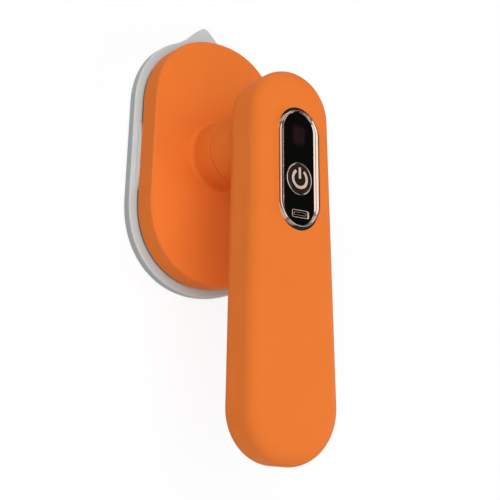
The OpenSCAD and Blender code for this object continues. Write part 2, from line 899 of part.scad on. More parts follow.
// Spring leaf with two domes that drop into the dimples of the disc
module detent_leaf() {
    leaf_z = boss_z + leaf_groove - leaf_t - fit;
    color([0.74, 0.74, 0.76]) {
        tube(detent_outer_r, detent_inner_r, leaf_z, leaf_z + leaf_t);
        for (a = [90, 270])
            rotate([0, 0, a])
                intersection() {
                    translate([detent_r, 0, neck_top + 0.05 + dome_r])
                        sphere(r = dome_r);
                    translate([detent_r, 0, neck_top])
                        cylinder(r = dome_r, h = leaf_z + leaf_t - neck_top);
                }
    }
}

// Plated frame of the panel: rounded top, sloping inner wall and a skirt into the shell
module bezel() {
    color([0.92, 0.76, 0.66])
        translate([0, -bezel_back, 0])
            stadium_sweep(bezel_run)
                union() {
                    polygon([[lip_r, window_top], [skirt_r, window_top], [skirt_r, handle_top],
                        [bezel_half_w, handle_top], [bezel_half_w, bezel_top - 0.3],
                        [bezel_half_w - 0.8, bezel_top], [lip_r + 0.85, bezel_top - 0.2],
                        [lip_r, window_top + 0.1]]);
                    translate([pane_r + fit, skirt_z])
                        square([skirt_r - pane_r - fit, window_top - skirt_z + 0.2]);
                }
}

// Gloss black window, with openings for the display and the power button
module window() {
    color([0.05, 0.05, 0.05])
        difference() {
            translate([0, -bezel_back, 0])
                stadium(pane_r, bezel_run, window_z, window_top);
            translate([0, -button_back, window_z - cut])
                cylinder(r = button_ring_r + 0.02, h = window_t + 2 * cut);
            translate([-display_w / 2 - 0.05, -display_back - display_l / 2 - 0.05, window_z - cut])
                cube([display_w + 0.1, display_l + 0.1, window_t + 2 * cut]);
        }
}

module display() {
    color([0.12, 0.08, 0.08])
        translate([-display_w / 2, -display_back - display_l / 2, board_top])
            cube([display_w, display_l, window_top - 0.05 - board_top]);
}

// Outline of a battery with a charge bar in it and a thick terminal end
module battery_mark() {
    line = 0.5;
    terminal = 1;
    color([0.70, 0.62, 0.60])
        translate([0, -battery_mark_back, window_top])
            linear_extrude(height = mark_rise)
                union() {
                    difference() {
                        square([battery_mark_l, battery_mark_h], center = true);
                        translate([-(terminal - line) / 2, 0])
                            square([battery_mark_l - line - terminal, battery_mark_h - 2 * line], center = true);
                    }
                    translate([-battery_mark_l / 4, 0])
                        square([battery_mark_l / 3, 0.4 * battery_mark_h], center = true);
                }
}

module button_ring() {
    color([0.95, 0.80, 0.70])
        translate([0, -button_back, 0])
            tube(button_ring_r, button_ring_r - button_ring_w, window_z, window_top + 0.3);
}

module power_button() {
    color([0.06, 0.06, 0.06])
        translate([0, -button_back, button_z]) {
            cylinder(r = button_r, h = button_h);
            cylinder(r = button_r + 0.6, h = 0.5);
        }
}

// Plated power symbol on the button: a bar and an open ring
module power_mark() {
    ring_out = 4.4;
    ring_in = 3.2;
    bar_w = 1.2;
    gap_half = 2.1;
    color([0.95, 0.80, 0.70])
        translate([0, -button_back, button_top])
            linear_extrude(height = mark_rise)
                union() {
                    difference() {
                        circle(r = ring_out);
                        circle(r = ring_in);
                        translate([-gap_half, 0])
                            square([2 * gap_half, 2 * ring_out]);
                    }
                    translate([-bar_w / 2, 0])
                        square([bar_w, 4.8]);
                }
}

// Board under the panel, screwed to four posts of the front shell
module circuit_board() {
    color([0.10, 0.35, 0.20])
        difference() {
            translate([-board_w / 2, board_y0, board_z])
                cube([board_w, board_y1 - board_y0, board_t]);
            for (place = board_places)
                translate([place.x, place.y, board_z - cut])
                    cylinder(r = board_screw_r + fit, h = board_t + 2 * cut);
        }
}

module board_screws() {
    color([0.60, 0.60, 0.62])
        for (place = board_places)
            translate([place.x, place.y, board_z - board_screw_head_t]) {
                cylinder(r = board_screw_head_r, h = board_screw_head_t);
                cylinder(r = board_screw_r, h = board_screw_head_t + board_t + board_screw_grip);
            }
}

module button_switch() {
    color([0.70, 0.70, 0.68])
        translate([0, -button_back, board_top]) {
            translate([-3, -3, 0])
                cube([6, 6, switch_h - 0.6]);
            cylinder(r = 1.6, h = switch_h);
        }
}

module cell(side) {
    color([0.20, 0.42, 0.62])
        translate([side * cell_x, -cell_start, cell_z])
            rotate([90, 0, 0])
                cylinder(r = cell_r, h = cell_l);
}

module cell_left() {
    cell(-1);
}

module cell_right() {
    cell(1);
}

// Moulded cradle with a saddle for each cell
module cell_cradle() {
    saddle_h = 4.2;
    flat_half = handle_top_r - back_round;
    color([0.15, 0.15, 0.16])
        difference() {
            intersection() {
                translate([-2 * cell_x, -cell_end, floor_z + fit])
                    cube([4 * cell_x, cell_l, saddle_h]);
                rotate([90, 0, 0])
                    linear_extrude(height = 2 * cell_end)
                        polygon([[-flat_half, floor_z], [flat_half, floor_z],
                            [flat_half + saddle_h, floor_z + saddle_h + cut],
                            [-flat_half - saddle_h, floor_z + saddle_h + cut]]);
            }
            for (side = [-1, 1])
                translate([side * cell_x, -cell_start + cut, cell_z])
                    rotate([90, 0, 0])
                        cylinder(r = cell_r + 0.02, h = cell_l + 2 * cut);
        }
}

// Welded strips that join the cells at both ends
module cell_strips() {
    color([0.80, 0.80, 0.78])
        for (y = [-cell_start, -cell_end - strip_t])
            translate([-cell_x - strip_lap, y, cell_z - strip_w / 2])
                cube([2 * (cell_x + strip_lap), strip_t, strip_w]);
}

module charge_board() {
    color([0.10, 0.35, 0.20])
        translate([-charge_board_w / 2, socket_y + socket_depth / 2, socket_z - socket_h / 2 - board_t])
            cube([charge_board_w, end_room - strip_t - socket_depth / 2 - 1, board_t]);
}

// Metal shell of the charging socket, with its tongue
module charge_socket() {
    tongue_w = 6.6;
    tongue_h = 0.7;
    back = 1.2;
    color([0.72, 0.73, 0.75])
        translate([0, socket_y + socket_depth, socket_z])
            rotate([90, 0, 0]) {
                difference() {
                    stadium_bar(socket_w - 0.1, socket_h - 0.1, socket_depth);
                    translate([0, 0, back])
                        stadium_bar(socket_w - 0.1 - 2 * socket_wall, socket_h - 0.1 - 2 * socket_wall,
                            socket_depth);
                }
                translate([-tongue_w / 2, -tongue_h / 2, back / 2])
                    cube([tongue_w, tongue_h, socket_depth - back / 2 - 1.2]);
            }
}

module handle_screws() {
    color([0.55, 0.55, 0.57])
        for (place = screw_places)
            translate([place.x, place.y, handle_z + 0.4]) {
                cylinder(r = screw_head_r, h = screw_head_t);
                cylinder(r = screw_r - 0.2, h = seam_z - handle_z + 3);
            }
}

soleplate();
heat_guard();
rim_gasket();
heating_element();
chamber_cover();
cover_screws();
thermostat();
thermal_fuse();
heat_shield();
water_tank();
water_pump();
pump_clip();
inlet_hose();
outlet_hose();
head_housing();
filler_plug();
swivel_spindle();
spindle_washer();
spindle_nut();
detent_disc();
wire_loom();
cable_grommet();
rear_shell();
front_shell();
swivel_bush();
detent_leaf();
bezel();
window();
display();
battery_mark();
button_ring();
power_button();
power_mark();
circuit_board();
board_screws();
button_switch();
cell_left();
cell_right();
cell_cradle();
cell_strips();
charge_board();
charge_socket();
handle_screws();
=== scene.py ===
import json
import math

import bmesh
import bpy
from mathutils import Matrix, Vector


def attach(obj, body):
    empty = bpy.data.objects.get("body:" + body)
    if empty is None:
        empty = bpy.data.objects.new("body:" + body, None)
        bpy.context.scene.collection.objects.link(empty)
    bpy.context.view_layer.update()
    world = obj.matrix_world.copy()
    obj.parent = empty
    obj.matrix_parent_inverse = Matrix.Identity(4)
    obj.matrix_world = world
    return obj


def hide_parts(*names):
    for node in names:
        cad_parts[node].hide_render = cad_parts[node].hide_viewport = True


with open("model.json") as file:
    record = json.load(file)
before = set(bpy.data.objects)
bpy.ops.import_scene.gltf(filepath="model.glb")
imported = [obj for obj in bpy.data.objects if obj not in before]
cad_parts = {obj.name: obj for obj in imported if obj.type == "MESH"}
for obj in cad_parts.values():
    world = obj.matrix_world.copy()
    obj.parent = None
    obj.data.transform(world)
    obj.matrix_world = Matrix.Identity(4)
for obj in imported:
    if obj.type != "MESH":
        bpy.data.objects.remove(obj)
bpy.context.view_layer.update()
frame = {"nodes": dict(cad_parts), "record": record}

MM = 0.001
scene = bpy.context.scene
scene.view_settings.view_transform = "Standard"

# Sizes in millimetres, the same as the solids have.
# Outlines: nose or upper radius, heel or lower radius, the two reaches, fullness.
HEAD = (35.7, 37.6, 57.4, 61.7, 2.16)
HANDLE = (20.7, 23.8, 27.6, 140.4, 2.0)
WALL = 2.2
RIM_REACH, RIM_Z, RIM_TOP, SOLE_TOP = 3.6, 0.8, 5.4, 2.6
NOSE_LENGTH, NOSE_SPREAD, NOSE_ROUND = 9.0, 18.0, 2.5
CLIP_HALF, CLIP_REACH, CLIP_Y = 17.0, 1.4, -2.0
HOUSING_Z, HEAD_TOP, HEAD_EDGE = 7.0, 18.5, 1.2
ROOF_Z = HEAD_TOP - WALL
NECK_R, NECK_TOP, NECK_BLEND = 16.0, 32.0, 2.3
DECK_Z = NECK_TOP - WALL
DISC_R, DISC_IN, DISC_T = 13.9, 9.2, 0.9
SPINDLE_HOLE, BUSH_HOLE = 6.02, 8.02
FILLER = (20.0, -24.0)
FILLER_HOLE, PLUG_R, PLUG_T = 5.3, 7.2, 1.8
BOSS_Z, BOSS_R, BOSS_BLEND = 32.4, 15.9, 13.0
HANDLE_Z, HANDLE_TOP, SEAM_Z = 51.0, 75.1, 67.4
BACK_ROUND, FRONT_ROUND = 7.0, 7.7
BEZEL_HALF_W, BEZEL_RUN, BEZEL_Y = 10.9, 31.4, -17.0
BEZEL_TOP, WINDOW_TOP, WINDOW_Z = 76.3, 75.3, 73.7
SKIRT_R, SKIRT_IN, SKIRT_Z, LIP_R = 10.0, 9.4, 73.0, 8.2
BUTTON_Y, RING_R, RING_W = -21.6, 7.0, 0.6
BUTTON_R, BUTTON_TOP, BUTTON_Z = 6.3, 75.7, 73.1
BATTERY_Y, BATTERY_L, BATTERY_H = -36.5, 9.4, 3.3
SCREWS = [(0, 21.2), (0, -51.9), (-11, -128.9), (11, -128.9)]
SCREW_HOLE, SEAT_Z = 2.4, HANDLE_Z + 1.8
BOARD_TOP, POST_R, BOARD_POST_R = 70.4, 2.8, 2.4
BOARD_POSTS = [(-9.6, 7.6), (9.6, 7.6), (-9.6, -45.6), (9.6, -45.6)]
SOCKET_Y, SOCKET_Z, SOCKET_W, SOCKET_H = -139.8, 63.1, 9.0, 3.3

# In the scene alone: the frame's shallow pocket, small edge rounds, gaps, steps of a blend
POCKET_Z, SMALL_ROUND, GAP, BLEND_STEPS = 74.85, 0.35, 0.1, 12


# ---------------------------------------------------------------- outlines


def oval(shape, grow=0.0, ends=96, sides=24):
    """Outline with two round ends of different size and tangent sides, as (x, y) points."""
    r1, r2, y1, y2, fullness = shape
    tilt = math.asin((r2 - r1) / (y1 + y2 - r1 - r2))
    power = 2 / fullness

    def end(radius, middle, start, sweep):
        points = []
        for i in range(ends + 1):
            c, s = math.cos(start + sweep * i / ends), math.sin(start + sweep * i / ends)
            points.append(
                (
                    (radius + grow) * math.copysign(abs(c) ** power, c),
                    middle + (radius + grow) * math.copysign(abs(s) ** power, s),
                )
            )
        return points

    def side(a, b):
        return [
            (a[0] + (b[0] - a[0]) * i / sides, a[1] + (b[1] - a[1]) * i / sides)
            for i in range(1, sides)
        ]

    upper = end(r1, y1 - r1, tilt, math.pi - 2 * tilt)
    lower = end(r2, r2 - y2, math.pi - tilt, math.pi + 2 * tilt)
    return upper + side(upper[-1], lower[0]) + lower + side(lower[-1], upper[0])


def nose_rise(x):
    """How far the pointed nose stands out in front of the oval, at x off its middle."""
    slope = 1 - math.hypot(x, NOSE_ROUND) / NOSE_SPREAD
    return NOSE_LENGTH * (slope / (1 - NOSE_ROUND / NOSE_SPREAD)) ** 2 if slope > 0 else 0


def rim_oval(grow, ends=160, sides=60):
    """Outline of the rim: the head's, grown, with the nose."""
    return [
        (x, y + (nose_rise(x) if y > 0 else 0))
        for x, y in oval(HEAD, RIM_REACH + grow, ends, sides)
    ]


def stadium(radius, run, middle=0.0, steps=48):
    """Outline of a straight-sided panel with half-round ends."""
    points = []
    for turn, y in ((0, run / 2), (math.pi, -run / 2)):
        for i in range(steps + 1):
            a = turn + math.pi * i / steps
            points.append((radius * math.cos(a), middle + y + radius * math.sin(a)))
    return points


def level(points, z):
    return [(x, y, z) for x, y in points]


def quarter(radius, steps, start=0.0, end=90.0):
    """(inset, rise) pairs along a quarter round, from its upright side to its flat top."""
    pairs = []
    for i in range(steps + 1):
        a = math.radians(start + (end - start) * i / steps)
        pairs.append((radius * (1 - math.cos(a)), radius * math.sin(a)))
    return pairs


# ---------------------------------------------------------------- meshes


def make(name, points, faces):
    """A mesh object from points in millimetres."""
    mesh = bpy.data.meshes.new(name)
    mesh.from_pydata([Vector(p) * MM for p in points], [], faces)
    work = bmesh.new()
    work.from_mesh(mesh)
    bmesh.ops.recalc_face_normals(work, faces=work.faces)
    work.to_mesh(mesh)
    work.free()
    piece = bpy.data.objects.new(name, mesh)
    scene.collection.objects.link(piece)
    return piece


def loft(name, rings, ring_closed=False):
    """A solid through rings of equal length: capped at both ends, or closed on itself."""
    n, count = len(rings[0]), len(rings)
    points = [p for ring in rings for p in ring]
    faces = []
    for k in range(count if ring_closed else count - 1):
        a, b = k * n, (k + 1) % count * n
        faces += [(a + i, a + (i + 1) % n, b + (i + 1) % n, b + i) for i in range(n)]
    if not ring_closed:
        faces += [tuple(range(n)), tuple(range((count - 1) * n, count * n))]
    return make(name, points, faces)


def turned(name, profile, at=(0, 0), steps=96, whole=True):
    """A solid of revolution about an upright axis. The profile is (radius, height) pairs,
    from axis to axis, or a loop off the axis when whole is False."""
    points, rings = [], []
    for r, z in profile:
        if r < 1e-6:
            rings.append([len(points)])
            points.append((at[0], at[1], z))
        else:
            rings.append(list(range(len(points), len(points) + steps)))
            for i in range(steps):
                a = 2 * math.pi * i / steps
                points.append((at[0] + r * math.cos(a), at[1] + r * math.sin(a), z))
    faces = []
    pairs = list(zip(rings, rings[1:]))
    if not whole:
        pairs.append((rings[-1], rings[0]))
    for a, b in pairs:
        for i in range(steps):
            j = (i + 1) % steps
            if len(a) == 1 and len(b) > 1:
                faces.append((a[0], b[i], b[j]))
            elif len(b) == 1 and len(a) > 1:
                faces.append((a[i], a[j], b[0]))
            elif len(a) > 1:
                faces.append((a[i], a[j], b[j], b[i]))
    return make(name, points, faces)


def drum(radius, z0, z1, at=(0, 0), steps=96):
    return turned("tool", [(0, z0), (radius, z0), (radius, z1), (0, z1)], at, steps)


def prism(points, z0, z1):
    return loft("tool", [level(points, z0), level(points, z1)])


def carve(piece, *tools, operation="DIFFERENCE"):
    """Cuts tools out of a piece, or joins them to it, and takes the result as its mesh."""
    for tool in tools:
        step = piece.modifiers.new("step", "BOOLEAN")
        step.operation, step.object, step.solver = operation, tool, "EXACT"
        graph = bpy.context.evaluated_depsgraph_get()
        done = bpy.data.meshes.new_from_object(piece.evaluated_get(graph))
        piece.modifiers.clear()
        old, piece.data = piece.data, done
        bpy.data.meshes.remove(old)
        drop(tool)
    return piece


def drop(piece):
    mesh = piece.data
    bpy.data.objects.remove(piece)
    bpy.data.meshes.remove(mesh)


def join(piece, *others):
    """Adds other closed solids to a piece's mesh."""
    work = bmesh.new()
    work.from_mesh(piece.data)
    for other in others:
        work.from_mesh(other.data)
    work.to_mesh(piece.data)
    work.free()
    for other in others:
        drop(other)
    return piece


def smooth(piece, angle=32.0):
    """Merges doubled points, and shades smooth all edges less sharp than angle."""
    work = bmesh.new()
    work.from_mesh(piece.data)
    bmesh.ops.remove_doubles(work, verts=work.verts, dist=0.002 * MM)
    work.to_mesh(piece.data)
    work.free()
    piece.data.shade_smooth()
    piece.data.set_sharp_from_angle(angle=math.radians(angle))
    weighted = piece.modifiers.new("flat_faces", "WEIGHTED_NORMAL")
    weighted.keep_sharp = True
    return piece


# ---------------------------------------------------------------- materials


def linear(r, g, b):
    """0 to 255 screen colour as a scene colour."""
    return tuple(
        c / 12.92 if c <= 0.04045 else ((c + 0.055) / 1.055) ** 2.4
        for c in (r / 255, g / 255, b / 255)
    ) + (1.0,)


# Width and lightness of worn edges, depth of the grain, and how far fade_out dims
WORN_EDGE, WORN_LIGHTER = 0.5 * MM, 0.25
GRAIN_DEPTH = 0.1 * MM
DIM_SHARE = 0.3


def finish(
    name,
    colour,
    rough,
    metal=0.0,
    shift=0.04,
    cloud=60.0,
    grain=2500.0,
    bump=0.08,
    rough_shift=0.05,
    stretch=(1, 1, 1),
    wear=0.0,
    coat=0.0,
    specular=0.5,
    transmission=0.0,
    shade=None,
    fade_out=0.0,
):
    """A material with mottled colour, grain, uneven gloss and lighter worn edges. shade is
    (height, share): below that height the colour is darkened to that share. fade_out is the
    share of the piece's width and length over which its colour dims toward each side."""
    made = bpy.data.materials.new(name)
    made.use_nodes = True
    tree = made.node_tree
    nodes, link = tree.nodes, tree.links.new
    shader = nodes["Principled BSDF"]
    shader.inputs["Metallic"].default_value = metal
    shader.inputs["Specular IOR Level"].default_value = specular
    shader.inputs["Coat Weight"].default_value = coat
    shader.inputs["Coat Roughness"].default_value = 0.06
    shader.inputs["Transmission Weight"].default_value = transmission

    where = nodes.new("ShaderNodeTexCoord")
    stretched = nodes.new("ShaderNodeMapping")
    stretched.inputs["Scale"].default_value = stretch
    link(where.outputs["Object"], stretched.inputs["Vector"])

    def noise(scale, detail, vector):
        speckle = nodes.new("ShaderNodeTexNoise")
        speckle.inputs["Scale"].default_value = scale
        speckle.inputs["Detail"].default_value = detail
        link(vector, speckle.inputs["Vector"])
        return speckle.outputs["Fac"]

    def spread(value, low, high, start=0.3, end=0.7):
        ranged = nodes.new("ShaderNodeMapRange")
        ranged.inputs["From Min"].default_value = start
        ranged.inputs["From Max"].default_value = end
        ranged.inputs["To Min"].default_value = low
        ranged.inputs["To Max"].default_value = high
        link(value, ranged.inputs["Value"])
        return ranged.outputs["Result"]

    def blend(factor, a, b):
        mixed = nodes.new("ShaderNodeMix")
        mixed.data_type = "RGBA"
        link(factor, mixed.inputs["Factor"])
        for value, socket in ((a, mixed.inputs["A"]), (b, mixed.inputs["B"])):
            if isinstance(value, tuple):
                socket.default_value = value
            else:
                link(value, socket)
        return mixed.outputs["Result"]

    def scaled(vector, factor):
        product = nodes.new("ShaderNodeVectorMath")
        product.operation = "SCALE"
        link(vector, product.inputs[0])
        link(factor, product.inputs["Scale"])
        return product.outputs["Vector"]

    def math_step(operation, value, operand=None):
        step = nodes.new("ShaderNodeMath")
        step.operation = operation
        link(value, step.inputs[0])
        if operand is not None:
            step.inputs[1].default_value = operand
        return step.outputs[0]

    clouds = noise(cloud, 4.0, where.outputs["Object"])
    dark = tuple(c * (1 - shift) for c in colour[:3]) + (1.0,)
    light = tuple(min(1.0, c * (1 + shift)) for c in colour[:3]) + (1.0,)
    mottled = blend(spread(clouds, 0.0, 1.0), dark, light)
    if wear:
        rounded = nodes.new("ShaderNodeBevel")
        rounded.samples = 4
        rounded.inputs["Radius"].default_value = WORN_EDGE
        turn = nodes.new("ShaderNodeVectorMath")
        turn.operation = "DOT_PRODUCT"
        link(rounded.outputs["Normal"], turn.inputs[0])
        link(nodes.new("ShaderNodeNewGeometry").outputs["Normal"], turn.inputs[1])
        worn = tuple(c + (1 - c) * WORN_LIGHTER for c in colour[:3]) + (1.0,)
        mottled = blend(spread(turn.outputs["Value"], wear, 0.0, 0.90, 0.995), mottled, worn)
    if shade:
        top, share = shade
        height = nodes.new("ShaderNodeSeparateXYZ")
        link(where.outputs["Object"], height.inputs[0])
        tone = spread(height.outputs["Z"], share, 1.0, top - 0.2 * MM, top + 0.1 * MM)
        mottled = scaled(mottled, tone)
    if fade_out:
        across = nodes.new("ShaderNodeSeparateXYZ")
        link(where.outputs["Generated"], across.inputs[0])
        for axis in "XY":
            aside = math_step("SUBTRACT", across.outputs[axis], 0.5)
            from_middle = math_step("ABSOLUTE", aside)
            dim = spread(from_middle, 1.0, DIM_SHARE, 0.5 - fade_out, 0.5)
            mottled = scaled(mottled, dim)
    link(mottled, shader.inputs["Base Color"])

    fine = noise(grain, 3.0, stretched.outputs["Vector"])
    patches = noise(cloud * 3.1, 3.0, stretched.outputs["Vector"])
    link(
        spread(patches, max(0.02, rough - rough_shift), min(1.0, rough + rough_shift)),
        shader.inputs["Roughness"],
    )
    relief = nodes.new("ShaderNodeBump")
    relief.inputs["Strength"].default_value = bump
    relief.inputs["Distance"].default_value = GRAIN_DEPTH
    link(fine, relief.inputs["Height"])
    link(relief.outputs["Normal"], shader.inputs["Normal"])
    return made


FINISH = {
    "orange_shell": finish(
        "soft_orange",
        linear(240, 125, 50),
        0.6,
        shift=0.02,
        cloud=45,
        grain=5200,
        bump=0.10,
        wear=0.2,
        specular=0.08,
    ),
    "rim_plastic": finish(
        "pale_grey_plastic",
        linear(205, 212, 211),
        0.42,
        shift=0.025,
        cloud=55,
        grain=4200,
        bump=0.08,
        wear=0.25,
        specular=0.3,
        shade=((RIM_TOP - 0.45) * MM, 0.66),
    ),
    "sole_metal": finish(
        "brushed_plate",
        linear(176, 177, 176),
        0.34,
        metal=1.0,
        shift=0.06,
        cloud=90,
        grain=1500,
        bump=0.15,
        stretch=(12, 0.4, 1),
    ),
    "heater_steel": finish("burnt_steel", linear(112, 100, 92), 0.45, 1.0, 0.15, 220),
    "cover_metal": finish(
        "pressed_sheet", linear(190, 191, 194), 0.36, 1.0, 0.06, 150, stretch=(1, 8, 1)
    ),
    "screw_steel": finish("plated_steel", linear(178, 179, 184), 0.3, 1.0, 0.06, 700),
    "spindle_steel": finish(
        "turned_steel", linear(170, 172, 177), 0.28, 1.0, 0.05, 400, stretch=(1, 1, 9)
    ),
    "socket_steel": finish("nickel_shell", linear(196, 198, 201), 0.22, 1.0, 0.04, 500),
    "rose_gold": finish(
        "rose_gold_plating",
        linear(200, 181, 168),
        0.12,
        metal=1.0,
        shift=0.03,
        cloud=260,
        grain=6000,
        bump=0.02,
        rough_shift=0.03,
    ),
    "satin_plating": finish(
        "satin_rose_plating",
        linear(224, 203, 188),
        0.4,
        metal=0.35,
        shift=0.04,
        cloud=300,
        grain=6000,
        bump=0.03,
        rough_shift=0.04,
    ),
    "key_gloss": finish(
        "warm_gloss_black",
        linear(44, 31, 22),
        0.14,
        shift=0.2,
        cloud=260,
        grain=5000,
        bump=0.01,
        rough_shift=0.03,
        specular=0.28,
    ),
    "black_gloss": finish(
        "gloss_black",
        linear(9, 9, 8),
        0.1,
        shift=0.15,
        cloud=120,
        grain=3000,
        bump=0.006,
        rough_shift=0.03,
        specular=0.2,
    ),
    "display_glass": finish(
        "dark_display",
        linear(34, 22, 21),
        0.16,
        shift=0.1,
        cloud=300,
        grain=9000,
        bump=0.01,
        rough_shift=0.03,
        specular=0.25,
        fade_out=0.25,
    ),
    "seal_rubber": finish("black_seal", linear(30, 29, 29), 0.7, shift=0.12, cloud=400),
    "plug_rubber": finish("grey_plug", linear(70, 69, 69), 0.62, shift=0.06, cloud=300),
    "clear_rubber": finish(
        "clear_hose", linear(226, 228, 226), 0.3, cloud=300, transmission=0.4
    ),
    "shield_board": finish("mica_board", linear(206, 199, 178), 0.75, shift=0.12, cloud=260),
    "tank_plastic": finish(
        "tank_blue", linear(212, 224, 232), 0.16, cloud=80, transmission=0.6
    ),
    "pump_plastic": finish("pump_black", linear(42, 42, 46), 0.5, shift=0.08, cloud=250),
    "nylon": finish("natural_nylon", linear(224, 222, 212), 0.46, cloud=220),
    "wire_plastic": finish("red_sleeve", linear(176, 34, 26), 0.36, cloud=300),
    "board_resin": finish(
        "green_lacquer", linear(28, 100, 62), 0.24, shift=0.14, cloud=420, coat=0.4
    ),
    "cell_can": finish("blue_sleeve", linear(60, 112, 160), 0.3, cloud=90, coat=0.3),
}


def place(piece, body, slot, *nodes, look=None):
    """Gives a piece its finish and body, and lets it stand for its solids."""
    piece.data.materials.clear()
    piece.data.materials.append(FINISH[look or slot])
    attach(piece, body)
    if nodes:
        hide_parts(*nodes)
    return piece


# ---------------------------------------------------------------- camera and studio

# Fitted to the outlines of the photo: the way back to the camera, its up and its aim
CAMERA_BACK = Vector((-0.60767, -0.17485, 0.77471))
CAMERA_UP = Vector((-0.1079, 0.9846, 0.1376))
CAMERA_AIM = Vector((18.12, -42.12, 18.5)) * MM
CAMERA_AWAY = 430.6 * MM
FOCAL_LENGTH, SENSOR = 64.8, 36.0

# Lamps in metres: place, aim, width and watts
MIDDLE, UNDERNEATH = (0, -0.04, 0.05), (0, -0.04, 0.02)
LAMPS = {
    "overhead_left": ((-0.60, -0.12, 1.14), MIDDLE, 2.2, 17.0),
    "beyond_nose": ((0.12, 0.98, 0.62), MIDDLE, 1.2, 3.0),
    "beyond_handle": ((0.38, -1.12, 0.72), MIDDLE, 1.2, 3.0),
    "under_the_handle": ((1.10, -0.16, 0.34), UNDERNEATH, 0.7, 4.2),
}

# The room's strength on its left and right, and where the one fades into the other
ROOM_TINT = (0.95, 0.97, 1.0, 1.0)
ROOM_LEFT, ROOM_RIGHT = 0.30, 0.04
FADE_START, FADE_END = -0.15, 0.55

# Paper: half width and height of its flat part and of the two turns of its edge, its grey
# to the light that it passes on, and its grey and own light as the camera sees it
PAPER_EDGES = ((3000, -0.2), (3200, 60), (3300, 1100))
PAPER_LIT, PAPER_SEEN, PAPER_GLOW = 0.58, 0.15, 0.86


def set_camera():
    back = CAMERA_BACK.normalized()
    right = CAMERA_UP.cross(back).normalized()
    up = back.cross(right)
    lens = bpy.data.cameras.new("camera")
    lens.lens = FOCAL_LENGTH
    lens.sensor_width = lens.sensor_height = SENSOR
    lens.clip_start, lens.clip_end = 0.01, 20.0
    camera = bpy.data.objects.new("camera", lens)
    scene.collection.objects.link(camera)
    turn = Matrix((right, up, back)).transposed().to_4x4()
    camera.matrix_world = Matrix.Translation(CAMERA_AIM + back * CAMERA_AWAY) @ turn
    scene.camera = camera


def hang_lamp(name, spot, aim, width, power):
    data = bpy.data.lights.new(name, "AREA")
    data.shape, data.size, data.energy = "DISK", width, power
    lamp = bpy.data.objects.new(name, data)
    scene.collection.objects.link(lamp)
    lamp.location = spot
    lamp.rotation_euler = (Vector(aim) - Vector(spot)).to_track_quat("-Z", "Y").to_euler()


def light_room():
    """The room is darker on the right, where the glossy panel looks."""
    world = bpy.data.worlds.new("studio")
    scene.world = world
    world.use_nodes = True
    nodes, link = world.node_tree.nodes, world.node_tree.links.new
    room = nodes["Background"]
    room.inputs["Color"].default_value = ROOM_TINT
    around = nodes.new("ShaderNodeTexCoord")
    parts = nodes.new("ShaderNodeSeparateXYZ")
    link(around.outputs["Generated"], parts.inputs[0])
    fade = nodes.new("ShaderNodeMapRange")
    fade.inputs["From Min"].default_value = FADE_START
    fade.inputs["From Max"].default_value = FADE_END
    fade.inputs["To Min"].default_value = ROOM_LEFT
    fade.inputs["To Max"].default_value = ROOM_RIGHT
    link(parts.outputs["X"], fade.inputs["Value"])
    link(fade.outputs["Result"], room.inputs["Strength"])


def white_paper():
    """Plain grey to the light that it passes on, and near white to the camera and to metal
    and glass, with the object's shadow on it."""
    paper = bpy.data.materials.new("white_paper")
    paper.use_nodes = True
    nodes, link = paper.node_tree.nodes, paper.node_tree.links.new
    nodes.clear()

    def diffuse(grey):
        shader = nodes.new("ShaderNodeBsdfDiffuse")
        shader.inputs["Color"].default_value = (grey, grey, grey, 1)
        return shader.outputs[0]

    def larger(a, b):
        either = nodes.new("ShaderNodeMath")
        either.operation = "MAXIMUM"
        link(a, either.inputs[0])
        link(b, either.inputs[1])
        return either.outputs[0]

    glow = nodes.new("ShaderNodeEmission")
    glow.inputs["Strength"].default_value = PAPER_GLOW
    seen = nodes.new("ShaderNodeAddShader")
    link(diffuse(PAPER_SEEN), seen.inputs[0])
    link(glow.outputs[0], seen.inputs[1])
    path = nodes.new("ShaderNodeLightPath").outputs
    mirrored = larger(path["Is Glossy Ray"], path["Is Transmission Ray"])
    pick = nodes.new("ShaderNodeMixShader")
    link(larger(path["Is Camera Ray"], mirrored), pick.inputs[0])
    link(diffuse(PAPER_LIT), pick.inputs[1])
    link(seen.outputs[0], pick.inputs[2])
    link(pick.outputs[0], nodes.new("ShaderNodeOutputMaterial").inputs["Surface"])
    return paper


def lay_paper():
    """A sheet whose edges turn up, so that no view looks past it."""
    corners = [
        (x * far, y * far, z)
        for far, z in PAPER_EDGES
        for x, y in ((-1, -1), (1, -1), (1, 1), (-1, 1))
    ]
    sides = [
        (4 * k + i, 4 * k + (i + 1) % 4, 4 * k + 4 + (i + 1) % 4, 4 * k + 4 + i)
        for k in range(len(PAPER_EDGES) - 1)
        for i in range(4)
    ]
    floor = make("floor", corners, [(0, 1, 2, 3), *sides])
    floor.data.materials.append(white_paper())


# ---------------------------------------------------------------- head


